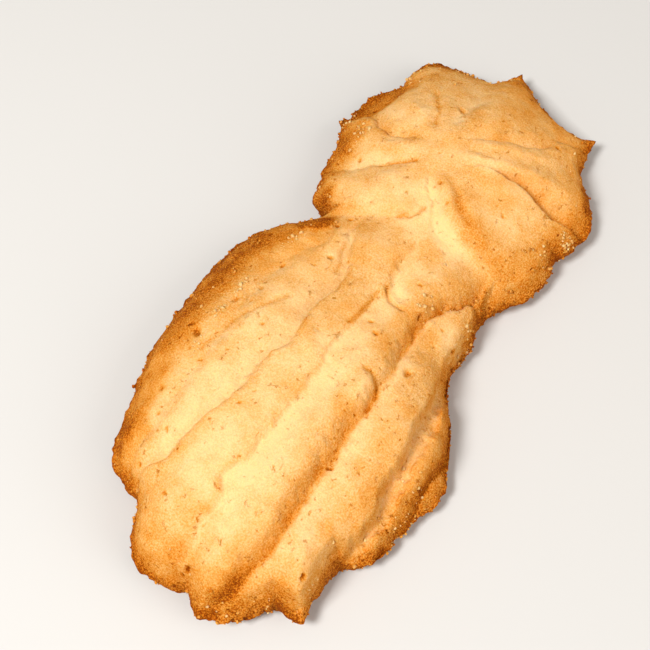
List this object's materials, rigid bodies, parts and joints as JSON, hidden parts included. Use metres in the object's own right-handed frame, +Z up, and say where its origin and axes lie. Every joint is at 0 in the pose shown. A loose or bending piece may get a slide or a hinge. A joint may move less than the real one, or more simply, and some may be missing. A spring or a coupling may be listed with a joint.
{
  "type": "shortbread biscuit",
  "caption": "Piped shortbread biscuit: a wide ridged bulb that narrows to a neck and ends in a star-shaped head, browned at its edges, on a flat base.",
  "frame": {"origin": "middle of the bounding box at the level of the flat base", "axes": "+Y along the length from the round end of the bulb to the star-shaped head, +Z up from the flat base, +X to the right flank seen from the round end"},
  "size_m": [0.0474, 0.0974, 0.0149],
  "materials": {
    "biscuit": "baked shortbread: matte, dry and sandy, pale golden with browned ridges and edges"
  },
  "bodies": {
    "root": {"biscuit": "biscuit"}
  },
  "joints": []
}
